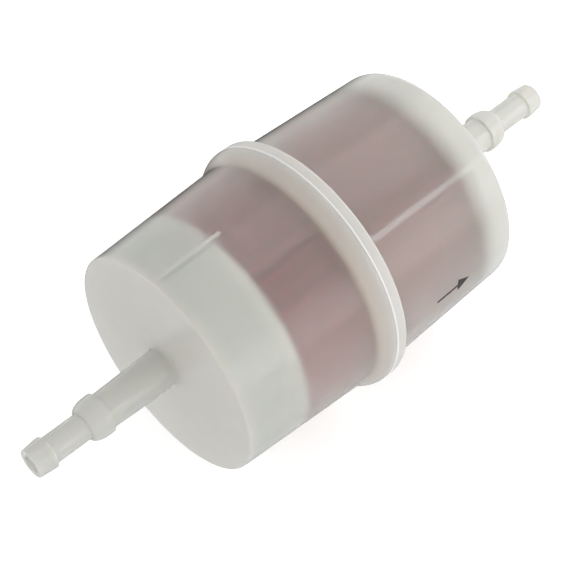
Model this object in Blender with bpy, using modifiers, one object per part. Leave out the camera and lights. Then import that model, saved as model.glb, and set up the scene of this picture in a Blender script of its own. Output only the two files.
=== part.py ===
"""In-line fuel filter: two welded translucent cups with stepped hose nozzles around a pleated paper element.

The axis runs along +X, the way the fuel flows, and +Z is up. The origin is the centre of the inlet
nozzle's tip. Outlines are lists of (distance along the axis, radius) and are turned about the axis.
"""

import math

import bmesh
import bpy

MM = 0.001

# Overall layout along the axis, in millimetres from the inlet nozzle's tip
LENGTH = 146.3
INLET_DISC = 34.3
WELD_PLANE = 71.5
OUTLET_DISC = 110.0
GAP = 0.3

# Moulded cups
WALL = 1.4
END_WALL = 1.5
INLET_CUP_R = 25.9
INLET_CUP_FLANGE_R = 27.6
OUTLET_CUP_R = 26.5
OUTLET_CUP_FLANGE_R = 27.66
INLET_CORNER_R = 1.0
OUTLET_CORNER_R = 1.8
INNER_CORNER_R = 0.9
FLANGE_R = 29.7
FLANGE_FLARE_LENGTH = 4.2
FLANGE_BAND_WIDTH = 2.7
FLANGE_EDGE_R = 0.35

# Tongue on the inlet flange and its groove in the outlet flange
TONGUE_R = (27.85, 28.55)
TONGUE_HEIGHT = 0.95
GROOVE_CLEARANCE = 0.35

# Stepped hose nozzle, in distance from its tip
TIP_R = 3.2
TIP_CHAMFER = 0.25
SMALL_BEAD_R = 3.55
SMALL_BEAD_START = 3.4
SMALL_BEAD_END = 4.3
SMALL_NECK_R = 2.98
LARGE_BEAD_START = 13.0
LARGE_BEAD_R = 4.6
LARGE_BEAD_NOSE = 3.5
LARGE_BEAD_END = 17.8
LARGE_NECK_R = 3.95
NECK_ROOT_R = 4.45
NECK_ROOT_FILLET = 0.6
SMALL_BORE_R = 1.9
LARGE_BORE_R = 2.7
BORE_STEP_START = 16.5
BORE_STEP_END = 18.2

# Ribs inside the inlet cup that hold the element in the middle
RIB_COUNT = 3
RIB_ANGLE = 177.0
RIB_WIDTH = 1.0
RIB_END = 51.8
RIB_SHOULDER = 46.9
RIB_SEAT_R = 22.8
RIB_GUIDE_R = 24.65
RIB_ROOT_R = 25.45

# Socket inside the outlet cup that takes the element's spigot
SOCKET_R = (9.1, 10.3)
SOCKET_DEPTH = 1.7

# Filter element
ELEMENT_START = 47.3
INLET_CAP_THICKNESS = 1.5
OUTLET_CAP_THICKNESS = 1.2
CAP_R = 24.3
CAP_LIP_R = 23.6
CAP_LIP_HEIGHT = 1.2
CAP_BOSS_R = 5.0
CAP_BOSS_HEIGHT = 1.5
SPIGOT_R = (6.2, 7.2)
SPIGOT_LENGTH = 1.6
POTTING_R = (9.7, 23.3)
POTTING_THICKNESS = 1.0
PAPER_START = 50.4
PAPER_END = 103.6
PLEAT_COUNT = 40
PLEAT_OUTER_R = 24.05
PLEAT_INNER_R = 11.75
PLEAT_FOLD_R = 0.42
PAPER_THICKNESS = 0.45
SEAM_SHEET_OFFSET = 0.45
SEAM_SHEET_R = 23.4
CLIP_THICKNESS = 0.4
CLIP_LEG_R = 20.4
CORE_R = (10.0, 11.0)
CORE_SLOT_ROWS = 5
CORE_SLOT_ANGLES = 3
CORE_SLOT_LENGTH = 6.4
CORE_SLOT_WIDTH = 3.2
SEAL_SECTION_R = 0.65
SEAL_CENTRE_R = 8.15

# Roundness of the turned pieces
CUP_STEPS = 40
SMALL_STEPS = 32
CORNER_STEPS = 4


def clear_scene():
    for old in list(bpy.data.objects):
        bpy.data.objects.remove(old, do_unlink=True)
    for old in list(bpy.data.collections):
        bpy.data.collections.remove(old)


def new_collection(name):
    group = bpy.data.collections.new(name)
    bpy.context.scene.collection.children.link(group)
    return group


def new_material(name, colour, roughness, metallic=0.0):
    material = bpy.data.materials.new(name)
    material.use_nodes = True
    shader = material.node_tree.nodes["Principled BSDF"]
    shader.inputs["Base Color"].default_value = (*colour, 1.0)
    shader.inputs["Roughness"].default_value = roughness
    shader.inputs["Metallic"].default_value = metallic
    material.diffuse_color = (*colour, 1.0)
    return material


def arc(centre_x, centre_r, radius, start, end, steps=CORNER_STEPS):
    """Points on an arc, with angles in degrees from the +X direction towards larger radius."""
    points = []
    for i in range(steps + 1):
        angle = math.radians(start + (end - start) * i / steps)
        points.append((centre_x + radius * math.cos(angle), centre_r + radius * math.sin(angle)))
    return points


def add_object(name, mesh, group, axis_empty, material=None):
    item = bpy.data.objects.new(name, mesh)
    group.objects.link(item)
    item.parent = axis_empty
    if material is not None:
        mesh.materials.append(material)
    return item


def turned(name, outline, steps, group, axis_empty, material, closed=True):
    """Turn an outline about the axis. It runs down its outer side from high x to low x."""
    bm = bmesh.new()
    points = [bm.verts.new((radius * MM, 0.0, x * MM)) for x, radius in outline]
    for first, second in zip(points[:-1], points[1:]):
        bm.edges.new((first, second))
    if closed:
        bm.edges.new((points[-1], points[0]))
    mesh = bpy.data.meshes.new(name)
    bm.to_mesh(mesh)
    bm.free()
    item = add_object(name, mesh, group, axis_empty, material)
    screw = item.modifiers.new("Turn", "SCREW")
    screw.axis = "Z"
    screw.steps = steps
    screw.render_steps = steps
    screw.use_merge_vertices = True
    screw.merge_threshold = 0.00001
    screw.use_smooth_shade = True
    return item


def boxes(name, placements, group, axis_empty, material=None):
    """One mesh of separate boxes. Each placement is (size, centre, angle about the axis)."""
    bm = bmesh.new()
    for size, centre, angle in placements:
        made = bmesh.ops.create_cube(bm, size=1.0)["verts"]
        bmesh.ops.scale(bm, vec=[side * MM for side in size], verts=made)
        bmesh.ops.translate(bm, vec=[value * MM for value in centre], verts=made)
        turn = (
            (math.cos(angle), -math.sin(angle), 0.0),
            (math.sin(angle), math.cos(angle), 0.0),
            (0.0, 0.0, 1.0),
        )
        for vert in made:
            x, y, z = vert.co
            vert.co = [row[0] * x + row[1] * y + row[2] * z for row in turn]
    mesh = bpy.data.meshes.new(name)
    bm.to_mesh(mesh)
    bm.free()
    return add_object(name, mesh, group, axis_empty, material)


def mark_as_tool(item):
    item.hide_render = True
    item.display_type = "WIRE"


def add_boolean(item, tool, operation):
    mark_as_tool(tool)
    boolean = item.modifiers.new(operation.title(), "BOOLEAN")
    boolean.operation = operation
    boolean.solver = "EXACT"
    boolean.object = tool


def nozzle_outside():
    """Outer line of a stepped nozzle from its tip to the start of the large neck."""
    points = [(0.0, TIP_R - TIP_CHAMFER), (TIP_CHAMFER, TIP_R)]
    points += [(SMALL_BEAD_START, SMALL_BEAD_R), (SMALL_BEAD_END - 0.15, SMALL_BEAD_R)]
    points += [(SMALL_BEAD_END, SMALL_BEAD_R - 0.15), (SMALL_BEAD_END, SMALL_NECK_R)]
    points += [(LARGE_BEAD_START, SMALL_NECK_R)]
    rise = LARGE_BEAD_R - SMALL_NECK_R - 0.22
    for i in range(5):
        angle = math.radians(90.0 * i / 4)
        along = LARGE_BEAD_NOSE * (1.0 - math.cos(angle))
        points.append((LARGE_BEAD_START + along, SMALL_NECK_R + 0.22 + rise * math.sin(angle)))
    points += [(LARGE_BEAD_END - 0.25, LARGE_BEAD_R), (LARGE_BEAD_END, LARGE_BEAD_R - 0.25)]
    points += [(LARGE_BEAD_END, LARGE_NECK_R)]
    return points


def nozzle_bore():
    """Stepped bore from the tip inwards."""
    return [(0.0, SMALL_BORE_R), (BORE_STEP_START, SMALL_BORE_R), (BORE_STEP_END, LARGE_BORE_R)]


def inlet_shell_outline():
    face = WELD_PLANE - GAP / 2
    flare_start = face - FLANGE_FLARE_LENGTH
    outer = []
    tongue_low, tongue_high = TONGUE_R
    outer += [(face + TONGUE_HEIGHT, tongue_low), (face + TONGUE_HEIGHT, tongue_high)]
    outer += [(face, tongue_high), (face, FLANGE_R - 0.12), (face - 0.12, FLANGE_R)]
    flare_rise = FLANGE_R - INLET_CUP_FLANGE_R
    for share_x, share_r in ((0.78, 0.93), (0.6, 0.72), (0.4, 0.36), (0.2, 0.09)):
        outer.append((flare_start + FLANGE_FLARE_LENGTH * share_x, INLET_CUP_FLANGE_R + flare_rise * share_r))
    outer.append((flare_start, INLET_CUP_FLANGE_R))
    corner_r = INLET_CUP_R - INLET_CORNER_R
    outer += arc(INLET_DISC + INLET_CORNER_R, corner_r, INLET_CORNER_R, 90.0, 180.0)
    outer += arc(
        INLET_DISC - NECK_ROOT_FILLET, NECK_ROOT_R + NECK_ROOT_FILLET, NECK_ROOT_FILLET, 0.0, -90.0, 2
    )
    outer += nozzle_outside()[::-1]
    inner = nozzle_bore()
    floor = INLET_DISC + END_WALL
    inner.append((floor, LARGE_BORE_R))
    inner_r = INLET_CUP_R - WALL
    inner += arc(floor + INNER_CORNER_R, inner_r - INNER_CORNER_R, INNER_CORNER_R, 180.0, 90.0, 3)
    inner += [(face, INLET_CUP_FLANGE_R - WALL), (face, tongue_low)]
    return outer + inner


def outlet_shell_outline():
    face = WELD_PLANE + GAP / 2
    back = face + FLANGE_BAND_WIDTH
    outer = [(LENGTH - along, radius) for along, radius in nozzle_outside()]
    outer += arc(
        OUTLET_DISC + NECK_ROOT_FILLET, NECK_ROOT_R + NECK_ROOT_FILLET, NECK_ROOT_FILLET, 270.0, 180.0, 2
    )
    outer += arc(
        OUTLET_DISC - OUTLET_CORNER_R, OUTLET_CUP_R - OUTLET_CORNER_R, OUTLET_CORNER_R, 0.0, 90.0
    )
    outer += arc(back + 0.5, OUTLET_CUP_FLANGE_R + 0.5, 0.5, 270.0, 180.0, 2)
    outer += arc(back - FLANGE_EDGE_R, FLANGE_R - FLANGE_EDGE_R, FLANGE_EDGE_R, 0.0, 90.0, 2)
    outer += [(face + 0.12, FLANGE_R), (face, FLANGE_R - 0.12)]
    groove_low = TONGUE_R[0] - GROOVE_CLEARANCE
    groove_high = TONGUE_R[1] + GROOVE_CLEARANCE
    groove_floor = face - GAP + TONGUE_HEIGHT + GROOVE_CLEARANCE
    inner = [(face, groove_high), (groove_floor, groove_high), (groove_floor, groove_low), (face, groove_low)]
    inner.append((face, OUTLET_CUP_FLANGE_R - WALL))
    floor = OUTLET_DISC - END_WALL
    inner_r = OUTLET_CUP_R - WALL
    inner += arc(floor - INNER_CORNER_R, inner_r - INNER_CORNER_R, INNER_CORNER_R, 90.0, 0.0, 3)
    socket_low, socket_high = SOCKET_R
    inner += [(floor, socket_high), (floor - SOCKET_DEPTH, socket_high), (floor - SOCKET_DEPTH, socket_low)]
    inner += [(floor, socket_low), (floor, LARGE_BORE_R)]
    inner += [(LENGTH - along, radius) for along, radius in nozzle_bore()[::-1]]
    return outer + inner


def inlet_ribs(group, axis_empty):
    """Stepped ribs: a deep part that the element stops against and a shallow part that guides it."""
    placements = []
    start = INLET_DISC + 0.9
    for i in range(RIB_COUNT):
        angle = math.radians(RIB_ANGLE + 360.0 * i / RIB_COUNT)
        seat = (RIB_ROOT_R - RIB_SEAT_R, RIB_WIDTH, RIB_SHOULDER - start)
        seat_centre = ((RIB_ROOT_R + RIB_SEAT_R) / 2, 0.0, (RIB_SHOULDER + start) / 2)
        placements.append((seat, seat_centre, angle))
    ribs = boxes("rib_seats", placements, group, axis_empty)
    guide_placements = []
    guide_start = RIB_SHOULDER - 1.0
    for i in range(RIB_COUNT):
        angle = math.radians(RIB_ANGLE + 360.0 * i / RIB_COUNT)
        guide = (RIB_ROOT_R - RIB_GUIDE_R, RIB_WIDTH - 0.1, RIB_END - guide_start)
        guide_centre = ((RIB_ROOT_R + RIB_GUIDE_R) / 2 + 0.02, 0.0, (RIB_END + guide_start) / 2)
        guide_placements.append((guide, guide_centre, angle))
    guides = boxes("rib_guides", guide_placements, group, axis_empty)
    return ribs, guides


def pleat_path():
    """Centre line of the folded sheet seen along the axis, open where its two ends meet at the seam."""
    pitch = 2 * math.pi / PLEAT_COUNT
    outer_centre = PLEAT_OUTER_R - PLEAT_FOLD_R
    inner_centre = PLEAT_INNER_R + PLEAT_FOLD_R
    points = []

    def fold(angle, centre_r, outward):
        """Three points around one fold, as (across the fold, along the radius)."""
        sign = 1.0 if outward else -1.0
        for turn in (-80.0, 0.0, 80.0):
            spread = math.radians(turn)
            across = PLEAT_FOLD_R * math.sin(spread)
            radial = centre_r + sign * PLEAT_FOLD_R * math.cos(spread)
            x = radial * math.cos(angle) - across * math.sin(angle)
            y = radial * math.sin(angle) + across * math.cos(angle)
            points.append((x, y))

    points.append((SEAM_SHEET_R, SEAM_SHEET_OFFSET))
    for i in range(PLEAT_COUNT):
        fold((i + 0.5) * pitch, inner_centre, False)
        if i < PLEAT_COUNT - 1:
            fold((i + 1.0) * pitch, outer_centre, True)
    points.append((SEAM_SHEET_R, -SEAM_SHEET_OFFSET))
    return points


def pleated_paper(group, axis_empty, material):
    bm = bmesh.new()
    start = [bm.verts.new((x * MM, y * MM, PAPER_START * MM)) for x, y in pleat_path()]
    lines = [bm.edges.new(pair) for pair in zip(start[:-1], start[1:])]
    made = bmesh.ops.extrude_edge_only(bm, edges=lines)["geom"]
    moved = [part for part in made if isinstance(part, bmesh.types.BMVert)]
    bmesh.ops.translate(bm, vec=(0.0, 0.0, (PAPER_END - PAPER_START) * MM), verts=moved)
    mesh = bpy.data.meshes.new("filter_paper")
    bm.to_mesh(mesh)
    bm.free()
    paper = add_object("filter_paper", mesh, group, axis_empty, material)
    thickness = paper.modifiers.new("Thickness", "SOLIDIFY")
    thickness.thickness = PAPER_THICKNESS * MM
    thickness.offset = 0.0
    thickness.use_even_offset = True
    return paper


def seam_clip(group, axis_empty, material):
    """U-shaped strip that holds the sheet's two ends together along the whole seam."""
    inside = SEAM_SHEET_OFFSET + PAPER_THICKNESS / 2 + GAP
    outside = inside + CLIP_THICKNESS
    top = SEAM_SHEET_R + GAP
    outline = [
        (CLIP_LEG_R, outside),
        (top + CLIP_THICKNESS, outside),
        (top + CLIP_THICKNESS, -outside),
        (CLIP_LEG_R, -outside),
        (CLIP_LEG_R, -inside),
        (top, -inside),
        (top, inside),
        (CLIP_LEG_R, inside),
    ]
    start = RIB_END + GAP
    end = PAPER_END - GAP
    bm = bmesh.new()
    verts = [bm.verts.new((x * MM, y * MM, start * MM)) for x, y in outline]
    face = bm.faces.new(verts)
    made = bmesh.ops.extrude_face_region(bm, geom=[face])["geom"]
    moved = [part for part in made if isinstance(part, bmesh.types.BMVert)]
    bmesh.ops.translate(bm, vec=(0.0, 0.0, (end - start) * MM), verts=moved)
    bmesh.ops.recalc_face_normals(bm, faces=bm.faces)
    mesh = bpy.data.meshes.new("pleat_seam_clip")
    bm.to_mesh(mesh)
    bm.free()
    return add_object("pleat_seam_clip", mesh, group, axis_empty, material)


def ring_outline(low_x, high_x, low_r, high_r):
    return [(high_x, low_r), (high_x, high_r), (low_x, high_r), (low_x, low_r)]


def inlet_cap_outline():
    """Closed disc with a lip around the potting and a raised middle that spreads the incoming fuel."""
    back = ELEMENT_START + INLET_CAP_THICKNESS
    lip = back + CAP_LIP_HEIGHT
    outline = [(back, 0.0), (back, CAP_LIP_R), (lip, CAP_LIP_R), (lip, CAP_R), (ELEMENT_START, CAP_R)]
    outline.append((ELEMENT_START, CAP_BOSS_R))
    for i in (1, 2):
        angle = math.radians(90.0 * i / 3)
        radius = CAP_BOSS_R * math.cos(angle)
        outline.append((ELEMENT_START - CAP_BOSS_HEIGHT * math.sin(angle), radius))
    outline.append((ELEMENT_START - CAP_BOSS_HEIGHT, 0.0))
    return outline


def outlet_cap_outline():
    """Open disc with a lip around the potting and a spigot that carries the cleaned fuel out."""
    start = PAPER_END + 2 * GAP + POTTING_THICKNESS
    back = start + OUTLET_CAP_THICKNESS
    lip = start - CAP_LIP_HEIGHT
    hole, spigot = SPIGOT_R
    end = back + SPIGOT_LENGTH
    outline = [(end, hole), (end, spigot - 0.2), (end - 0.2, spigot), (back, spigot), (back, CAP_R)]
    outline += [(lip, CAP_R), (lip, CAP_LIP_R), (start, CAP_LIP_R), (start, hole)]
    return outline


def core_slot_cutters(group, axis_empty):
    cutters = []
    span = PAPER_END - PAPER_START
    for i in range(CORE_SLOT_ANGLES):
        angle = math.radians(180.0 * i / CORE_SLOT_ANGLES)
        placements = []
        for row in range(CORE_SLOT_ROWS):
            height = PAPER_START + span * (row + 0.5) / CORE_SLOT_ROWS
            size = (4 * CORE_R[1], CORE_SLOT_WIDTH, CORE_SLOT_LENGTH)
            placements.append((size, (0.0, 0.0, height), angle))
        cutters.append(boxes(f"core_slots_{i + 1}", placements, group, axis_empty))
    return cutters


def build():
    clear_scene()
    parts = new_collection("fuel_filter")
    tools = new_collection("cutters")

    shell_plastic = new_material("shell_plastic", (0.80, 0.81, 0.76), 0.32)
    cap_plastic = new_material("cap_plastic", (0.84, 0.83, 0.74), 0.45)
    paper_fibre = new_material("paper_fibre", (0.60, 0.43, 0.36), 0.9)
    potting_resin = new_material("potting_resin", (0.78, 0.76, 0.60), 0.5)
    core_plastic = new_material("core_plastic", (0.72, 0.70, 0.62), 0.5)
    clip_steel = new_material("clip_steel", (0.62, 0.62, 0.62), 0.35, 1.0)
    seal_rubber = new_material("seal_rubber", (0.03, 0.03, 0.03), 0.7)

    axis_empty = bpy.data.objects.new("filter_axis", None)
    parts.objects.link(axis_empty)
    axis_empty.rotation_euler = (0.0, math.pi / 2, 0.0)

    inlet_shell = turned("inlet_shell", inlet_shell_outline(), CUP_STEPS, parts, axis_empty, shell_plastic)
    rib_seats, rib_guides = inlet_ribs(tools, axis_empty)
    add_boolean(inlet_shell, rib_seats, "UNION")
    add_boolean(inlet_shell, rib_guides, "UNION")
    turned("outlet_shell", outlet_shell_outline(), CUP_STEPS, parts, axis_empty, shell_plastic)

    turned("inlet_end_cap", inlet_cap_outline(), CUP_STEPS, parts, axis_empty, cap_plastic, closed=False)
    turned("outlet_end_cap", outlet_cap_outline(), CUP_STEPS, parts, axis_empty, cap_plastic)

    potting_low, potting_high = POTTING_R
    inlet_potting_start = PAPER_START - GAP - POTTING_THICKNESS
    inlet_ring = ring_outline(
        inlet_potting_start, inlet_potting_start + POTTING_THICKNESS, potting_low, potting_high
    )
    turned("inlet_potting", inlet_ring, CUP_STEPS, parts, axis_empty, potting_resin)
    outlet_potting_start = PAPER_END + GAP
    outlet_ring = ring_outline(
        outlet_potting_start, outlet_potting_start + POTTING_THICKNESS, potting_low, potting_high
    )
    turned("outlet_potting", outlet_ring, CUP_STEPS, parts, axis_empty, potting_resin)

    pleated_paper(parts, axis_empty, paper_fibre)
    seam_clip(parts, axis_empty, clip_steel)

    core_ring = ring_outline(PAPER_START, PAPER_END, *CORE_R)
    core = turned("core_tube", core_ring, SMALL_STEPS, parts, axis_empty, core_plastic)
    for cutter in core_slot_cutters(tools, axis_empty):
        add_boolean(core, cutter, "DIFFERENCE")

    seal_x = OUTLET_DISC - END_WALL - 0.4 - SEAL_SECTION_R
    seal_outline = arc(seal_x, SEAL_CENTRE_R, SEAL_SECTION_R, 0.0, 324.0, 9)
    turned("outlet_seal_ring", seal_outline, SMALL_STEPS, parts, axis_empty, seal_rubber)


build()
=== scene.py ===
import math

import bmesh
import bpy
from mathutils import Matrix, Vector


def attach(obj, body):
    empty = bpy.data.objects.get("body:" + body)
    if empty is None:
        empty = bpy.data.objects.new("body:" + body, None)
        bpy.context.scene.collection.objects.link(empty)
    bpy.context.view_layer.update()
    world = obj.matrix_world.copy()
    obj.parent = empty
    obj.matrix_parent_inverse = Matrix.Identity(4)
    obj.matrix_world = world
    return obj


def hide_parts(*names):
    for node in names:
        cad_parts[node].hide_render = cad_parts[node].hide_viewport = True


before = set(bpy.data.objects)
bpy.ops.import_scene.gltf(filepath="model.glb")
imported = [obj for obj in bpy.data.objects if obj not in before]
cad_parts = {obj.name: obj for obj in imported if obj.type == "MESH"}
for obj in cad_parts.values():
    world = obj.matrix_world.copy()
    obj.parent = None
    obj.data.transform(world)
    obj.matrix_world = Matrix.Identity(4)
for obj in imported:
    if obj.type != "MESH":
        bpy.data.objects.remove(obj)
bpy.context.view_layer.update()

MM = 0.001

# Layout along the axis, in millimetres from the inlet nozzle's tip
LENGTH = 146.3
INLET_DISC = 34.3
WELD_PLANE = 71.5
OUTLET_DISC = 110.0
FLANGE_R = 29.7
INLET_CUP_R = 25.9
INLET_CUP_FLANGE_R = 27.6
OUTLET_CUP_R = 26.5
OUTLET_CUP_FLANGE_R = 27.66
WALL = 1.4
END_WALL = 1.5
FACE_GAP = 0.1
PAPER_START = 50.4
PAPER_END = 103.6

# Mid flange: the inlet cup flares out to it, and the outlet cup carries the flat band
FLARE_LENGTH = 4.2
BAND_WIDTH = 2.75
TONGUE_R = (27.85, 28.55)
TONGUE_HEIGHT = 0.95
GROOVE_R = (27.5, 28.9)
GROOVE_DEPTH = 1.0

# Stepped hose nozzle, by distance from its tip
TIP_R = 3.2
SMALL_BEAD = (3.4, 4.3)
SMALL_BEAD_R = 3.55
SMALL_NECK_R = 2.98
LARGE_BEAD = (13.0, 17.8)
LARGE_BEAD_R = 4.6
LARGE_BEAD_NOSE = 3.5
LARGE_BEAD_NOSE_R = 3.2
LARGE_NECK_R = 3.95
NECK_ROOT_R = 4.45
BORE_R = (1.9, 2.7)
BORE_STEP = (16.5, 18.2)

# Ribs inside the inlet cup: a deep part that the element stops against, then a shallow
# guide beside it
RIB_COUNT = 3
RIB_ANGLE = 87.0
RIB_START = 35.6
RIB_SHOULDER = 46.9
RIB_END = 51.8
RIB_SEAT_R = 22.8
RIB_GUIDE_R = 24.65
RIB_ROOT_R = 25.45
RIB_WIDTHS = (1.0, 0.9)

# Filter element
PLEAT_COUNT = 40
PLEAT_FOLD_R = 0.42
PLEAT_OUTER_R = 24.05
PLEAT_INNER_R = 11.75
PAPER_THICKNESS = 0.45
SEAM_OFFSET = 0.45
SEAM_R = 23.4
CLIP_CLEARANCE = 0.3
CLIP_THICKNESS = 0.4
CLIP_LEG_R = 20.4
CLIP_SPAN = (52.1, 103.3)
CORE_R = (10.0, 11.0)
SLOT_SIZE = (6.4, 3.2, 44.0)
SLOT_ROWS = 5
SLOT_ANGLES = 3
CAP_R = 24.3
CAP_LIP_R = 23.6
CAP_LIP_HEIGHT = 1.2
INLET_CAP_START = 47.3
INLET_CAP_THICKNESS = 1.5
CAP_BOSS_R = 5.0
CAP_BOSS_HEIGHT = 1.5
OUTLET_CAP_THICKNESS = 1.2
SPIGOT_R = (6.2, 7.2)
SPIGOT_LENGTH = 1.6
SOCKET_R = (9.1, 10.3)
SOCKET_DEPTH = 1.7
POTTING_R = (9.7, 23.3)
POTTING_THICKNESS = 1.0
SEAL_SECTION_R = 0.65
SEAL_CENTRE_R = 8.15

# Flow arrow printed on the outlet cup
ARROW_ANGLE = 178.0
ARROW_START = 85.95
ARROW_NECK = 92.3
ARROW_TIP = 95.9
ARROW_SHAFT_HALF = 0.3
ARROW_HEAD_HALF = 1.8
INK_HEIGHTS = (0.02, 0.05)

# Roundness of the turned pieces
CUP_STEPS = 180
SMALL_STEPS = 96

# How clear the wall looks along the axis, as (distance, share of light let through)
CLEARNESS = [
    (0.0, 0.55),
    (33.8, 0.5),
    (34.2, 0.40),
    (36.5, 0.60),
    (48.6, 0.62),
    (50.3, 0.93),
    (67.2, 0.93),
    (68.4, 0.50),
    (71.4, 0.45),
    (71.6, 0.35),
    (74.4, 0.92),
    (100.0, 0.92),
    (105.0, 0.42),
    (110.2, 0.32),
    (111.0, 0.36),
]

# The wall's tint along the axis
TINT = [
    (0.0, (0.96, 0.96, 0.98)),
    (33.6, (0.96, 0.96, 0.98)),
    (34.3, (0.97, 0.945, 0.945)),
    (36.5, (0.935, 0.955, 0.97)),
    (49.0, (0.945, 0.955, 0.965)),
    (51.0, (1.0, 0.955, 0.97)),
    (66.5, (1.0, 0.955, 0.97)),
    (67.8, (1.0, 0.925, 0.89)),
    (69.0, (1.0, 0.94, 0.93)),
    (72.0, (1.0, 0.97, 0.97)),
    (76.0, (1.0, 0.99, 0.99)),
    (100.0, (1.0, 0.99, 0.99)),
    (104.0, (1.0, 0.995, 0.99)),
    (110.0, (1.0, 0.99, 0.99)),
]
PLASTIC = (0.93, 0.93, 0.87)

# The studio's brightness from straight down (0) to straight up (1), and its dark side
SKY = [
    (0.0, 0.6),
    (0.1, 0.78),
    (0.3, 0.92),
    (0.45, 0.94),
    (0.6, 0.84),
    (0.8, 0.69),
    (1.0, 0.65),
]
DARK_SIDE = (0.3, 0.65, -0.7)
BODY_CENTRE = (0.0715, 0.0, 0.0)
FLOOR_HEIGHT = -0.0302
FLOOR_FLAT_R = 1.4
FLOOR_SWEEP_R = 1.0
FLOOR_WALL_TOP = 3.0

# Camera at the photograph's angle
CAMERA_LENS = 102.1
CAMERA_PLACE = (-0.07985, -0.15772, 0.27074)
CAMERA_FORWARD = (0.42431, 0.45037, -0.78558)
CAMERA_RIGHT = (0.72785, -0.68574, 0.0)


# ---------------------------------------------------------------- materials


def new_material(name):
    """A new material with its node tree and its shader."""
    material = bpy.data.materials.new(name)
    material.use_nodes = True
    return material, material.node_tree, material.node_tree.nodes["Principled BSDF"]


def noise(tree, scale, detail=4.0, roughness=0.55, stretch=(1.0, 1.0, 1.0)):
    """Noise in the object's own metres."""
    coordinates = tree.nodes.new("ShaderNodeTexCoord")
    mapping = tree.nodes.new("ShaderNodeMapping")
    mapping.inputs["Scale"].default_value = stretch
    texture = tree.nodes.new("ShaderNodeTexNoise")
    texture.inputs["Scale"].default_value = scale
    texture.inputs["Detail"].default_value = detail
    texture.inputs["Roughness"].default_value = roughness
    tree.links.new(coordinates.outputs["Object"], mapping.inputs["Vector"])
    tree.links.new(mapping.outputs["Vector"], texture.inputs["Vector"])
    return texture.outputs["Fac"]


def ramp(tree, factor, stops):
    """Colours by (position, colour) stops."""
    node = tree.nodes.new("ShaderNodeValToRGB")
    elements = node.color_ramp.elements
    while len(elements) < len(stops):
        elements.new(0.5)
    for element, (position, colour) in zip(elements, stops):
        element.position = position
        element.color = (*colour, 1.0)
    tree.links.new(factor, node.inputs["Fac"])
    return node.outputs["Color"]


def spread(tree, factor, low, high):
    """Noise stretched to run from low to high."""
    node = tree.nodes.new("ShaderNodeMapRange")
    node.inputs["From Min"].default_value = 0.3
    node.inputs["From Max"].default_value = 0.7
    node.inputs["To Min"].default_value = low
    node.inputs["To Max"].default_value = high
    tree.links.new(factor, node.inputs["Value"])
    return node.outputs["Result"]


def product(tree, first, second):
    """Multiply two colours. The Mix node's colour sockets share their names with others,
    so they go by number."""
    node = tree.nodes.new("ShaderNodeMix")
    node.data_type = "RGBA"
    node.blend_type = "MULTIPLY"
    node.inputs[0].default_value = 1.0
    tree.links.new(first, node.inputs[6])
    tree.links.new(second, node.inputs[7])
    return node.outputs[2]


def bump(tree, shader, height, strength, distance):
    """Fine relief in the shader's normal."""
    node = tree.nodes.new("ShaderNodeBump")
    node.inputs["Strength"].default_value = strength
    node.inputs["Distance"].default_value = distance
    tree.links.new(height, node.inputs["Height"])
    tree.links.new(node.outputs["Normal"], shader.inputs["Normal"])


def along_axis(tree):
    """How far along the filter a point is, from 0 at the inlet tip to 1 at the outlet tip."""
    coordinates = tree.nodes.new("ShaderNodeTexCoord")
    parts = tree.nodes.new("ShaderNodeSeparateXYZ")
    tree.links.new(coordinates.outputs["Object"], parts.inputs["Vector"])
    share = tree.nodes.new("ShaderNodeMapRange")
    share.inputs["From Max"].default_value = LENGTH * MM
    tree.links.new(parts.outputs["X"], share.inputs["Value"])
    return share.outputs["Result"]


def milky_plastic(name, colour, clearness, roughness, coat):
    """Unfilled polyamide. Clearness is one number, or stops along the axis, which also
    bring in the wall's tint."""
    material, tree, shader = new_material(name)
    cloud = noise(tree, 90.0)
    dark = tuple(value * 0.97 for value in colour)
    plain = ramp(tree, cloud, [(0.35, dark), (0.65, colour)])
    if isinstance(clearness, float):
        tree.links.new(plain, shader.inputs["Base Color"])
    else:
        tint = ramp(tree, along_axis(tree), [(x / LENGTH, value) for x, value in TINT])
        tree.links.new(product(tree, plain, tint), shader.inputs["Base Color"])
    surface = spread(tree, noise(tree, 300.0), roughness - 0.04, roughness + 0.04)
    tree.links.new(surface, shader.inputs["Roughness"])
    if isinstance(clearness, float):
        shader.inputs["Transmission Weight"].default_value = clearness
    else:
        stops = [(x / LENGTH, (value, value, value)) for x, value in clearness]
        tree.links.new(ramp(tree, along_axis(tree), stops), shader.inputs["Transmission Weight"])
    shader.inputs["IOR"].default_value = 1.45
    shader.inputs["Subsurface Weight"].default_value = 1.0
    shader.inputs["Subsurface Radius"].default_value = (1.0, 0.95, 0.85)
    shader.inputs["Subsurface Scale"].default_value = 0.0015
    shader.inputs["Coat Weight"].default_value = coat
    shader.inputs["Coat Roughness"].default_value = 0.12
    bump(tree, shader, noise(tree, 260.0, 3.0), 0.05, 0.0001)
    return material


def paper_material():
    """Filter paper, more saturated than it looks through the milky wall."""
    material, tree, shader = new_material("pleated_paper")
    blotch = noise(tree, 32.0, 5.0, 0.6, (0.6, 1.0, 1.0))
    stops = [
        (0.3, (0.34, 0.045, 0.065)),
        (0.5, (0.44, 0.07, 0.095)),
        (0.7, (0.54, 0.11, 0.135)),
    ]
    tree.links.new(ramp(tree, blotch, stops), shader.inputs["Base Color"])
    shader.inputs["Roughness"].default_value = 0.92
    shader.inputs["Specular IOR Level"].default_value = 0.2
    bump(tree, shader, noise(tree, 2200.0, 6.0, 0.7), 0.5, 0.0002)
    return material


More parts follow.
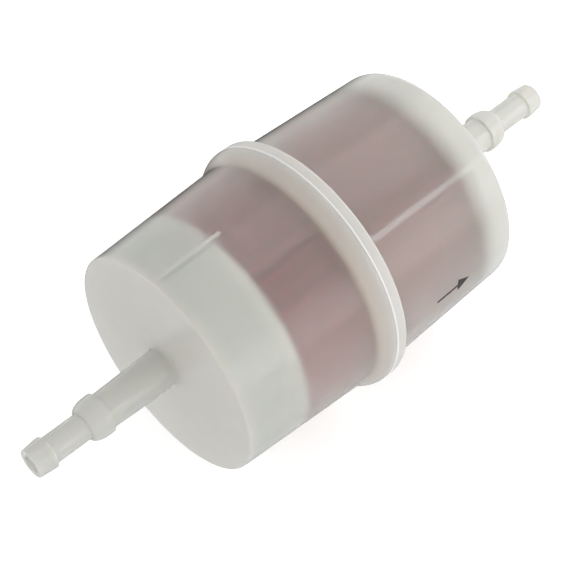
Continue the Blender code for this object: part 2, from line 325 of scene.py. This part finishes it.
def moulded_material(name, colour, roughness, variation=0.1):
    """Opaque plastic or resin with a slight mottle."""
    material, tree, shader = new_material(name)
    dark = tuple(value * (1.0 - variation) for value in colour)
    shades = ramp(tree, noise(tree, 120.0), [(0.3, dark), (0.7, colour)])
    tree.links.new(shades, shader.inputs["Base Color"])
    surface = spread(tree, noise(tree, 500.0), roughness - 0.06, roughness + 0.06)
    tree.links.new(surface, shader.inputs["Roughness"])
    bump(tree, shader, noise(tree, 900.0), 0.2, 0.0002)
    return material


def steel_material():
    """Rolled strip with its grain along the axis."""
    material, tree, shader = new_material("strip_steel")
    grain = noise(tree, 700.0, 5.0, 0.6, (0.05, 1.0, 1.0))
    stops = [(0.3, (0.42, 0.42, 0.43)), (0.7, (0.62, 0.62, 0.63))]
    tree.links.new(ramp(tree, grain, stops), shader.inputs["Base Color"])
    tree.links.new(spread(tree, grain, 0.28, 0.45), shader.inputs["Roughness"])
    shader.inputs["Metallic"].default_value = 1.0
    return material


def dark_material(name, scale, low, high, roughness):
    """Rubber or ink, mottled between two dark colours."""
    material, tree, shader = new_material(name)
    cloud = noise(tree, scale)
    tree.links.new(ramp(tree, cloud, [(0.35, low), (0.7, high)]), shader.inputs["Base Color"])
    tree.links.new(spread(tree, cloud, roughness - 0.08, roughness + 0.08), shader.inputs["Roughness"])
    return material


# ---------------------------------------------------------------- meshes


def rounded(points, steps=6):
    """An outline of (x, radius, fillet) corners as a smooth list of (x, radius)."""
    made = []
    count = len(points)
    for i, (x, y, fillet) in enumerate(points):
        if fillet <= 0.0:
            made.append((x, y))
            continue
        here = Vector((x, y))
        before = Vector(points[i - 1][:2]) - here
        after = Vector(points[(i + 1) % count][:2]) - here
        angle = before.angle(after)
        reach = fillet / math.tan(angle / 2)
        reach = min(reach, before.length * 0.48, after.length * 0.48)
        start = here + before.normalized() * reach
        end = here + after.normalized() * reach
        for k in range(steps + 1):
            t = k / steps
            point = start * (1 - t) ** 2 + here * 2 * t * (1 - t) + end * t**2
            made.append((point.x, point.y))
    return made


def add_object(name, mesh):
    """An object in the scene for a mesh."""
    item = bpy.data.objects.new(name, mesh)
    bpy.context.scene.collection.objects.link(item)
    return item


def tidy_normals(mesh):
    """Turn all faces of a closed mesh outwards."""
    bm = bmesh.new()
    bm.from_mesh(mesh)
    bmesh.ops.recalc_face_normals(bm, faces=bm.faces)
    bm.to_mesh(mesh)
    bm.free()


def smooth(item, sharp_angle=32.0):
    """Smooth shading that keeps edges over the angle sharp."""
    item.data.shade_smooth()
    item.data.set_sharp_from_angle(angle=math.radians(sharp_angle))


def turned(name, outline, steps):
    """Turn a closed outline of (x, radius) points about the X axis; points on the axis are shared."""
    verts = []
    rings = []
    for x, radius in outline:
        if radius < 1e-6:
            rings.append([len(verts)] * steps)
            verts.append((x * MM, 0.0, 0.0))
            continue
        rings.append(list(range(len(verts), len(verts) + steps)))
        for k in range(steps):
            angle = 2 * math.pi * k / steps
            verts.append((x * MM, radius * math.cos(angle) * MM, radius * math.sin(angle) * MM))
    faces = []
    for first, second in zip(rings, rings[1:] + rings[:1]):
        if first[0] == first[1] and second[0] == second[1]:
            continue
        for k in range(steps):
            n = (k + 1) % steps
            corners = [first[k], first[n], second[n], second[k]]
            faces.append(list(dict.fromkeys(corners)))
    mesh = bpy.data.meshes.new(name)
    mesh.from_pydata(verts, [], faces)
    tidy_normals(mesh)
    item = add_object(name, mesh)
    smooth(item)
    return item


def finish_piece(item, material, replaces=None, region_of=None):
    """Dress a piece. With several materials, region_of picks each face's from its corners' places,
    which are (distance along the axis, radius, angle in degrees)."""
    item.data.materials.clear()
    for one in material if region_of else [material]:
        item.data.materials.append(one)
    places = []
    for vert in item.data.vertices:
        x, y, z = vert.co / MM
        places.append((x, math.hypot(y, z), math.degrees(math.atan2(z, y))))
    for polygon in item.data.polygons if region_of else []:
        polygon.material_index = region_of([places[i] for i in polygon.vertices])
    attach(item, "root")
    if replaces:
        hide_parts(replaces)
    return item


def inlet_cup_radius(x):
    """Outer radius of the inlet cup's tapered wall, from the disc to where the flare starts."""
    flare_start = WELD_PLANE - FACE_GAP - FLARE_LENGTH
    share = (x - INLET_DISC) / (flare_start - INLET_DISC)
    return INLET_CUP_R + (INLET_CUP_FLANGE_R - INLET_CUP_R) * share


def inlet_region(points):
    """1 on the ribs and on the strip of wall outside them, which is thick there; 0 elsewhere."""
    low = min(point[0] for point in points)
    high = max(point[0] for point in points)
    if low < RIB_START - 0.05 or high > RIB_END + 0.05:
        return 0
    angle = sum(point[2] for point in points) / len(points)
    between = 360.0 / RIB_COUNT
    off = (angle - RIB_ANGLE + between / 2) % between - between / 2
    return int(abs(off) < 0.95)


def outlet_region(points):
    """2 on the weld's front edge, whose whiter opaque material is partly a painted highlight, 1 on the
    rest of the flange band, and 0 elsewhere.
    """
    x, radius, _ = (sum(values) / len(points) for values in zip(*points))
    if radius > 28.95 and x < WELD_PLANE + 0.55:
        return 2
    return int(radius > OUTLET_CUP_FLANGE_R + 0.1 and x < WELD_PLANE + 2.9)


def nozzle_outside():
    """Outer line of a nozzle from its tip to its wide neck, as (distance, radius, fillet)."""
    small_start, small_end = SMALL_BEAD
    large_start, large_end = LARGE_BEAD
    points = [(0.0, TIP_R, 0.28), (small_start, SMALL_BEAD_R, 0.3), (small_end, SMALL_BEAD_R, 0.16)]
    points += [(small_end, SMALL_NECK_R, 0.25), (large_start, SMALL_NECK_R, 0.2)]
    rise = LARGE_BEAD_R - LARGE_BEAD_NOSE_R
    steps = 10
    for i in range(steps + 1):
        angle = math.radians(90.0 * i / steps)
        along = large_start + LARGE_BEAD_NOSE * (1 - math.cos(angle))
        points.append((along, LARGE_BEAD_NOSE_R + rise * math.sin(angle), 0.0))
    points += [(large_end, LARGE_BEAD_R, 0.28), (large_end, LARGE_NECK_R, 0.25)]
    return points


def inlet_shell_outline():
    """Section of the inlet cup, from its tongue along the outside to the tip and back inside."""
    face = WELD_PLANE - FACE_GAP
    tongue_low, tongue_high = TONGUE_R
    tongue_end = face + TONGUE_HEIGHT
    edge = 0.14
    outer = [(tongue_end, tongue_low, 0.0), (tongue_end, tongue_high, 0.0), (face, tongue_high, 0.0)]
    outer += [(face, FLANGE_R, edge)]
    rise = FLANGE_R - 0.02 - INLET_CUP_FLANGE_R
    steps = 14
    for i in range(steps, -1, -1):
        t = i / steps
        share = math.sin(math.pi / 2 * t**0.93) ** 2
        x = face - FLARE_LENGTH + FLARE_LENGTH * t - edge
        outer.append((x, INLET_CUP_FLANGE_R + rise * share, 0.0))
    for x in (RIB_END, RIB_START):
        outer.append((x, inlet_cup_radius(x), 0.0))
    outer += [(INLET_DISC, INLET_CUP_R, 0.9), (INLET_DISC, NECK_ROOT_R, 0.7)]
    outer += nozzle_outside()[::-1]
    floor = INLET_DISC + END_WALL
    small_bore, large_bore = BORE_R
    step_start, step_end = BORE_STEP
    inner = [(0.0, small_bore, 0.2), (step_start, small_bore, 0.0), (step_end, large_bore, 0.0)]
    inner += [(floor, large_bore, 0.3), (floor, INLET_CUP_R - WALL, 1.0)]
    inner += [(face, INLET_CUP_FLANGE_R - WALL, 0.0), (face, tongue_low, 0.0)]
    return rounded(outer + inner)


def outlet_shell_outline():
    """Section of the outlet cup, from the tip along the outside to the groove and back inside."""
    face = WELD_PLANE + FACE_GAP
    back = face + BAND_WIDTH
    outer = [(LENGTH - x, radius, fillet) for x, radius, fillet in nozzle_outside()]
    outer += [(OUTLET_DISC, NECK_ROOT_R, 0.7), (OUTLET_DISC, OUTLET_CUP_R, 1.8)]
    outer += [(back, OUTLET_CUP_FLANGE_R, 0.45), (back, FLANGE_R - 0.03, 0.4), (face, FLANGE_R, 0.45)]
    groove_low, groove_high = GROOVE_R
    groove_floor = face + GROOVE_DEPTH
    inner = [(face, groove_high, 0.0), (groove_floor, groove_high, 0.0)]
    inner += [(groove_floor, groove_low, 0.0), (face, groove_low, 0.0)]
    floor = OUTLET_DISC - END_WALL
    inner += [(face, OUTLET_CUP_FLANGE_R - WALL, 0.0), (floor, OUTLET_CUP_R - WALL, 1.0)]
    socket_low, socket_high = SOCKET_R
    socket_end = floor - SOCKET_DEPTH
    inner += [(floor, socket_high, 0.0), (socket_end, socket_high, 0.2)]
    inner += [(socket_end, socket_low, 0.2), (floor, socket_low, 0.0)]
    small_bore, large_bore = BORE_R
    step_start, step_end = BORE_STEP
    inner += [(floor, large_bore, 0.3), (LENGTH - step_end, large_bore, 0.0)]
    inner += [(LENGTH - step_start, small_bore, 0.0), (LENGTH, small_bore, 0.2)]
    return rounded(outer + inner)


def rib_boxes():
    """Boxes that the boolean joins to the inlet cup's wall."""
    bm = bmesh.new()
    seat_width, guide_width = RIB_WIDTHS
    seat = (RIB_START - 0.4, RIB_SHOULDER, RIB_SEAT_R, seat_width)
    guide = (RIB_SHOULDER - 1.0, RIB_END, RIB_GUIDE_R, guide_width)
    for i in range(RIB_COUNT):
        angle = math.radians(RIB_ANGLE + 360.0 * i / RIB_COUNT)
        for low, high, inside, width in (seat, guide):
            made = bmesh.ops.create_cube(bm, size=1.0)["verts"]
            for vert in made:
                x = low if vert.co.x < 0 else high
                along = inside if vert.co.y < 0 else RIB_ROOT_R
                across = width * vert.co.z
                y = along * math.cos(angle) - across * math.sin(angle)
                z = along * math.sin(angle) + across * math.cos(angle)
                vert.co = (x * MM, y * MM, z * MM)
    mesh = bpy.data.meshes.new("rib_boxes")
    bmesh.ops.recalc_face_normals(bm, faces=bm.faces)
    bm.to_mesh(mesh)
    bm.free()
    return add_object("rib_boxes", mesh)


def apply_boolean(item, tool, operation):
    """Cut or join with a tool object, which is then deleted."""
    boolean = item.modifiers.new("Cut", "BOOLEAN")
    boolean.operation = operation
    boolean.solver = "EXACT"
    boolean.use_self = True
    boolean.object = tool
    graph = bpy.context.evaluated_depsgraph_get()
    mesh = bpy.data.meshes.new_from_object(item.evaluated_get(graph))
    item.modifiers.clear()
    item.data = mesh
    bpy.data.objects.remove(tool)
    smooth(item)


def pleat_path():
    """Centre line of the folded sheet seen along the axis, from one side of the seam round to
    the other."""
    pitch = 2 * math.pi / PLEAT_COUNT
    outer_centre = PLEAT_OUTER_R - PLEAT_FOLD_R
    inner_centre = PLEAT_INNER_R + PLEAT_FOLD_R
    points = [(SEAM_R, SEAM_OFFSET)]
    for i in range(PLEAT_COUNT):
        inner_fold = (inner_centre, -1, (i + 0.5) * pitch)
        outer_fold = (outer_centre, 1, (i + 1) * pitch)
        for centre, sign, angle in (inner_fold, outer_fold):
            if sign > 0 and i == PLEAT_COUNT - 1:
                continue
            for turn in (-80.0, -54.0, -27.0, 0.0, 27.0, 54.0, 80.0):
                spread_angle = math.radians(turn)
                across = PLEAT_FOLD_R * math.sin(spread_angle)
                radial = centre + sign * PLEAT_FOLD_R * math.cos(spread_angle)
                x = radial * math.cos(angle) - across * math.sin(angle)
                y = radial * math.sin(angle) + across * math.cos(angle)
                points.append((x, y))
    points.append((SEAM_R, -SEAM_OFFSET))
    return points


def pleated_paper():
    """Folded sheet of even thickness, made as one closed solid."""
    path = [Vector(point) for point in pleat_path()]
    half = PAPER_THICKNESS / 2
    left = []
    right = []
    for i, point in enumerate(path):
        before = (point - path[i - 1]).normalized() if i > 0 else None
        after = (path[i + 1] - point).normalized() if i < len(path) - 1 else None
        direction = (before or after) + (after or before)
        direction.normalize()
        side = Vector((-direction.y, direction.x))
        last = after or before
        stretch = 1.0 / max(0.6, side.dot(Vector((-last.y, last.x))))
        left.append(point + side * half * stretch)
        right.append(point - side * half * stretch)
    verts = []
    for x in (PAPER_START, PAPER_END):
        for local_x, local_y in left + right:
            verts.append((x * MM, local_y * MM, -local_x * MM))
    count = len(path)
    ring = 2 * count
    faces = []
    for i in range(count - 1):
        faces.append((i, i + 1, count + i + 1, count + i))
        faces.append((ring + i, ring + count + i, ring + count + i + 1, ring + i + 1))
        faces.append((i, ring + i, ring + i + 1, i + 1))
        faces.append((count + i, count + i + 1, ring + count + i + 1, ring + count + i))
    for i in (0, count - 1):
        faces.append((i, count + i, ring + count + i, ring + i))
    mesh = bpy.data.meshes.new("paper_pleats")
    mesh.from_pydata(verts, [], faces)
    tidy_normals(mesh)
    item = add_object("paper_pleats", mesh)
    smooth(item, 45.0)
    return item


def prism(name, outline, low, high, bevel):
    """Extrude an outline along the axis, with softened edges. Its x points down and its y across."""
    bm = bmesh.new()
    verts = [bm.verts.new((low * MM, y * MM, -x * MM)) for x, y in outline]
    face = bm.faces.new(verts)
    made = bmesh.ops.extrude_face_region(bm, geom=[face])["geom"]
    moved = [part for part in made if isinstance(part, bmesh.types.BMVert)]
    bmesh.ops.translate(bm, vec=((high - low) * MM, 0.0, 0.0), verts=moved)
    bmesh.ops.recalc_face_normals(bm, faces=bm.faces)
    bmesh.ops.bevel(bm, geom=bm.edges[:], offset=bevel * MM, segments=3, affect="EDGES", profile=0.5)
    bmesh.ops.recalc_face_normals(bm, faces=bm.faces)
    mesh = bpy.data.meshes.new(name)
    bm.to_mesh(mesh)
    bm.free()
    item = add_object(name, mesh)
    smooth(item)
    return item


def seam_clip():
    """Folded strip over the two ends of the paper."""
    inside = SEAM_OFFSET + PAPER_THICKNESS / 2 + CLIP_CLEARANCE
    outside = inside + CLIP_THICKNESS
    top = SEAM_R + CLIP_CLEARANCE
    crown = top + CLIP_THICKNESS
    leg = CLIP_LEG_R
    outline = [(leg, outside), (crown, outside), (crown, -outside), (leg, -outside)]
    outline += [(leg, -inside), (top, -inside), (top, inside), (leg, inside)]
    return prism("seam_clip", outline, *CLIP_SPAN, 0.1)


def core_tube():
    """Tube inside the pleats, with rows of slots cut right through."""
    inside, outside = CORE_R
    outline = [(PAPER_START, inside, 0.1), (PAPER_START, outside, 0.1)]
    outline += [(PAPER_END, outside, 0.1), (PAPER_END, inside, 0.1)]
    core = turned("core_sleeve", rounded(outline, 3), SMALL_STEPS)
    span = PAPER_END - PAPER_START
    bm = bmesh.new()
    length, width, depth = SLOT_SIZE
    for i in range(SLOT_ANGLES):
        angle = math.radians(180.0 * i / SLOT_ANGLES)
        turn = Matrix.Rotation(angle, 4, "X")
        for row in range(SLOT_ROWS):
            middle = PAPER_START + span * (row + 0.5) / SLOT_ROWS
            made = bmesh.ops.create_cube(bm, size=1.0)["verts"]
            for vert in made:
                place = Vector((middle + length * vert.co.x, width * vert.co.y, depth * vert.co.z)) * MM
                vert.co = turn @ place
    mesh = bpy.data.meshes.new("slots")
    bm.to_mesh(mesh)
    bm.free()
    apply_boolean(core, add_object("slots", mesh), "DIFFERENCE")
    return core


def inlet_cap():
    """Closed cap with a lip round the paper and a low domed boss."""
    start = INLET_CAP_START
    back = start + INLET_CAP_THICKNESS
    lip = back + CAP_LIP_HEIGHT
    outline = [(back, 0.0, 0.0), (back, CAP_LIP_R, 0.15), (lip, CAP_LIP_R, 0.15), (lip, CAP_R, 0.15)]
    outline += [(start, CAP_R, 0.35), (start, CAP_BOSS_R, 0.4)]
    steps = 9
    for i in range(1, steps):
        angle = math.radians(90.0 * i / steps)
        along = start - CAP_BOSS_HEIGHT * math.sin(angle)
        outline.append((along, CAP_BOSS_R * math.cos(angle), 0.0))
    outline.append((start - CAP_BOSS_HEIGHT, 0.0, 0.0))
    return turned("cap_inlet", rounded(outline, 4), CUP_STEPS)


def outlet_cap():
    """Open cap with a lip round the paper and a spigot for the socket in the outlet cup."""
    start = PAPER_END + 0.6 + POTTING_THICKNESS
    back = start + OUTLET_CAP_THICKNESS
    end = back + SPIGOT_LENGTH
    lip = start - CAP_LIP_HEIGHT
    inside, outside = SPIGOT_R
    outline = [(end, inside, 0.15), (end, outside, 0.25), (back, outside, 0.3), (back, CAP_R, 0.35)]
    outline += [(lip, CAP_R, 0.15), (lip, CAP_LIP_R, 0.15), (start, CAP_LIP_R, 0.15), (start, inside, 0.2)]
    return turned("cap_outlet", rounded(outline, 4), CUP_STEPS)


def potting(name, low):
    """Ring of adhesive between the paper's end and its cap."""
    high = low + POTTING_THICKNESS
    inside, outside = POTTING_R
    outline = [(low, inside, 0.2), (low, outside, 0.25), (high, outside, 0.25), (high, inside, 0.2)]
    return turned(name, rounded(outline, 4), CUP_STEPS)


def seal_ring():
    """Round-section ring between the spigot and the socket."""
    section = SEAL_SECTION_R
    centre = OUTLET_DISC - END_WALL - 0.4 - section
    outline = []
    steps = 24
    for i in range(steps):
        angle = 2 * math.pi * i / steps
        outline.append((centre + section * math.cos(angle), SEAL_CENTRE_R + section * math.sin(angle)))
    return turned("seal_o_ring", outline, SMALL_STEPS)


def outlet_cup_radius(x):
    """Outer radius of the outlet cup's tapered wall."""
    band_end = WELD_PLANE + 2.7
    share = (x - band_end) / (OUTLET_DISC - band_end)
    return OUTLET_CUP_FLANGE_R + (OUTLET_CUP_R - OUTLET_CUP_FLANGE_R) * share


def flow_arrow():
    """Thin printed arrow that follows the cup's surface and points to the outlet."""
    middle = math.radians(ARROW_ANGLE)
    low, neck, tip = ARROW_START, ARROW_NECK, ARROW_TIP
    shaft = ARROW_SHAFT_HALF
    columns = 44
    bm = bmesh.new()
    rows = []
    for i in range(columns + 1):
        x = low + (tip - low) * i / columns
        if x < neck:
            half = shaft
        else:
            half = max(0.03, ARROW_HEAD_HALF * (tip - x) / (tip - neck))
        rows.append((x, half))
    rows.insert(next(i for i, row in enumerate(rows) if row[0] >= neck), (neck - 0.02, shaft))
    grid = {}
    across = 6
    for i, (x, half) in enumerate(rows):
        for j in range(across + 1):
            offset = half * (2 * j / across - 1)
            for level, height in enumerate(INK_HEIGHTS):
                radius = outlet_cup_radius(x) + height
                angle = middle + offset / radius
                place = (x * MM, radius * math.cos(angle) * MM, radius * math.sin(angle) * MM)
                grid[i, j, level] = bm.verts.new(place)
    last = len(rows) - 1
    for i in range(last):
        for j in range(across):
            for level in (0, 1):
                corners = [(i, j), (i + 1, j), (i + 1, j + 1), (i, j + 1)]
                bm.faces.new([grid[a, b, level] for a, b in corners])
        for j in (0, across):
            bm.faces.new([grid[i, j, 0], grid[i + 1, j, 0], grid[i + 1, j, 1], grid[i, j, 1]])
    for j in range(across):
        for i in (0, last):
            bm.faces.new([grid[i, j, 0], grid[i, j + 1, 0], grid[i, j + 1, 1], grid[i, j, 1]])
    bmesh.ops.recalc_face_normals(bm, faces=bm.faces)
    mesh = bpy.data.meshes.new("flow_arrow")
    bm.to_mesh(mesh)
    bm.free()
    item = add_object("flow_arrow", mesh)
    smooth(item)
    return item


# ---------------------------------------------------------------- the filter

shell = milky_plastic("milky_polyamide", PLASTIC, CLEARNESS, 0.72, 1.0)
thick = milky_plastic("milky_polyamide_thick", (0.84, 0.83, 0.79), 0.22, 0.5, 0.0)
ribs = milky_plastic("milky_polyamide_ribs", (0.9, 0.9, 0.86), 0.46, 0.65, 1.0)
# The weld's front edge: opaque plastic, made whiter than the wall as a painted highlight of the bright
# line along the parting line
flash_highlight = moulded_material("weld_edge_painted_highlight", (1.0, 0.995, 0.975), 0.35, 0.03)
paper = paper_material()
cap = moulded_material("cap_plastic", (0.86, 0.86, 0.80), 0.45)
resin = moulded_material("potting_resin", (0.78, 0.76, 0.66), 0.5)
sleeve = moulded_material("core_plastic", (0.74, 0.73, 0.68), 0.5)
steel = steel_material()
rubber = dark_material(
    "seal_rubber", 600.0, (0.015, 0.015, 0.015), (0.035, 0.035, 0.035), 0.65
)
ink = dark_material(
    "printed_ink", 1800.0, (0.006, 0.004, 0.006), (0.03, 0.022, 0.028), 0.5
)

inlet_shell = turned("shell_inlet", inlet_shell_outline(), CUP_STEPS)
apply_boolean(inlet_shell, rib_boxes(), "UNION")
finish_piece(inlet_shell, [shell, ribs], "inlet_shell", inlet_region)
outlet_shell = turned("shell_outlet", outlet_shell_outline(), CUP_STEPS)
finish_piece(outlet_shell, [shell, thick, flash_highlight], "outlet_shell", outlet_region)
finish_piece(pleated_paper(), paper, "filter_paper")
finish_piece(seam_clip(), steel, "pleat_seam_clip")
finish_piece(core_tube(), sleeve, "core_tube")
finish_piece(inlet_cap(), cap, "inlet_end_cap")
finish_piece(outlet_cap(), cap, "outlet_end_cap")
finish_piece(potting("potting_inlet", PAPER_START - 1.3), resin, "inlet_potting")
finish_piece(potting("potting_outlet", PAPER_END + 0.3), resin, "outlet_potting")
finish_piece(seal_ring(), rubber, "outlet_seal_ring")
finish_piece(flow_arrow(), ink)


# ---------------------------------------------------------------- floor, light and camera


def area_light(name, direction, distance, size, energy, target=BODY_CENTRE):
    """A light box that faces its target, with its long side along X."""
    data = bpy.data.lights.new(name, "AREA")
    data.shape = "RECTANGLE"
    data.size, data.size_y = size
    data.energy = energy
    item = bpy.data.objects.new(name, data)
    bpy.context.scene.collection.objects.link(item)
    toward = Vector(direction).normalized()
    item.location = Vector(target) + toward * distance
    across = toward.cross(Vector((1.0, 0.0, 0.0))).normalized()
    along = across.cross(toward)
    item.rotation_euler = Matrix((along, across, toward)).transposed().to_euler()
    return item


def studio_floor():
    """Flat in the middle and swept up all round, so that no horizon shows. Only the camera sees it."""
    profile = [(0.5, 0.0), (FLOOR_FLAT_R, 0.0)]
    rows = 12
    for i in range(1, rows + 1):
        angle = math.radians(90.0 * i / rows)
        radius = FLOOR_FLAT_R + FLOOR_SWEEP_R * math.sin(angle)
        profile.append((radius, FLOOR_SWEEP_R * (1.0 - math.cos(angle))))
    profile.append((FLOOR_FLAT_R + FLOOR_SWEEP_R, FLOOR_WALL_TOP))
    steps = 64
    verts = [(0.0, 0.0, 0.0)]
    for radius, height in profile:
        for k in range(steps):
            angle = 2 * math.pi * k / steps
            verts.append((radius * math.cos(angle), radius * math.sin(angle), height))
    faces = [(0, 1 + k, 1 + (k + 1) % steps) for k in range(steps)]
    for row in range(len(profile) - 1):
        low = 1 + row * steps
        for k in range(steps):
            n = (k + 1) % steps
            faces.append((low + k, low + steps + k, low + steps + n, low + n))
    mesh = bpy.data.meshes.new("studio_floor")
    mesh.from_pydata(verts, [], faces)
    tidy_normals(mesh)
    item = add_object("studio_floor", mesh)
    item.location = (0.07, 0.0, FLOOR_HEIGHT)
    smooth(item)
    material, tree, shader = new_material("studio_paper")
    shades = [(0.3, (0.93, 0.93, 0.93)), (0.7, (0.96, 0.96, 0.96))]
    tree.links.new(ramp(tree, noise(tree, 12.0), shades), shader.inputs["Base Color"])
    shader.inputs["Roughness"].default_value = 0.9
    shader.inputs["Emission Color"].default_value = (1.0, 1.0, 1.0, 1.0)
    shader.inputs["Emission Strength"].default_value = 0.45
    mesh.materials.append(material)
    item.visible_diffuse = False
    item.visible_glossy = False
    item.visible_transmission = False
    item.visible_shadow = False


def studio_world():
    """Soft light from all round, brightest just below the horizon like a white table,
    with one dark side that outlines the far edges."""
    world = bpy.data.worlds.new("studio")
    world.use_nodes = True
    tree = world.node_tree
    coordinates = tree.nodes.new("ShaderNodeTexCoord")
    parts = tree.nodes.new("ShaderNodeSeparateXYZ")
    height = tree.nodes.new("ShaderNodeMapRange")
    height.inputs["From Min"].default_value = -1.0
    tree.links.new(coordinates.outputs["Generated"], parts.inputs["Vector"])
    tree.links.new(parts.outputs["Z"], height.inputs["Value"])
    toward = tree.nodes.new("ShaderNodeVectorMath")
    toward.operation = "DOT_PRODUCT"
    toward.inputs[1].default_value = Vector(DARK_SIDE).normalized()
    tree.links.new(coordinates.outputs["Generated"], toward.inputs[0])
    edges = [(0.87, (1.0, 1.0, 1.0)), (0.97, (0.1, 0.1, 0.1))]
    shade = ramp(tree, toward.outputs["Value"], edges)
    side = tree.nodes.new("ShaderNodeMapRange")
    side.inputs["From Min"].default_value = -1.0
    side.inputs["To Min"].default_value = 1.08
    side.inputs["To Max"].default_value = 0.92
    tree.links.new(parts.outputs["Y"], side.inputs["Value"])
    greys = [(share, (value, value, value)) for share, value in SKY]
    sky = ramp(tree, height.outputs["Result"], greys)
    tree.links.new(product(tree, sky, shade), tree.nodes["Background"].inputs["Color"])
    tree.links.new(side.outputs["Result"], tree.nodes["Background"].inputs["Strength"])
    bpy.context.scene.world = world


studio_floor()
studio_world()
area_light("key", (0.42, -0.69, 0.58), 0.55, (0.22, 0.05), 0.17, (0.152, 0.0, 0.0))
area_light("rim_box", (0.86, -0.43, 0.29), 0.5, (0.06, 0.06), 0.09, (0.108, 0.0, 0.0))
area_light("outlet_fill", (0.5, 0.1, 0.85), 0.35, (0.3, 0.3), 0.2, (0.11, 0.0, 0.0))
area_light("side_box", (0.42, -0.92, 0.25), 0.6, (0.45, 0.3), 0.4)
scene = bpy.context.scene
scene.view_settings.view_transform = "Standard"

camera_data = bpy.data.cameras.new("camera")
camera_data.lens = CAMERA_LENS
camera_data.sensor_width = 36.0
camera_data.clip_start = 0.01
camera = bpy.data.objects.new("camera", camera_data)
scene.collection.objects.link(camera)
camera.location = CAMERA_PLACE
forward = Vector(CAMERA_FORWARD)
right = Vector(CAMERA_RIGHT)
up = right.cross(forward)
camera.matrix_world = Matrix(
    (
        (right.x, up.x, -forward.x, camera.location.x),
        (right.y, up.y, -forward.y, camera.location.y),
        (right.z, up.z, -forward.z, camera.location.z),
        (0.0, 0.0, 0.0, 1.0),
    )
)
scene.camera = camera
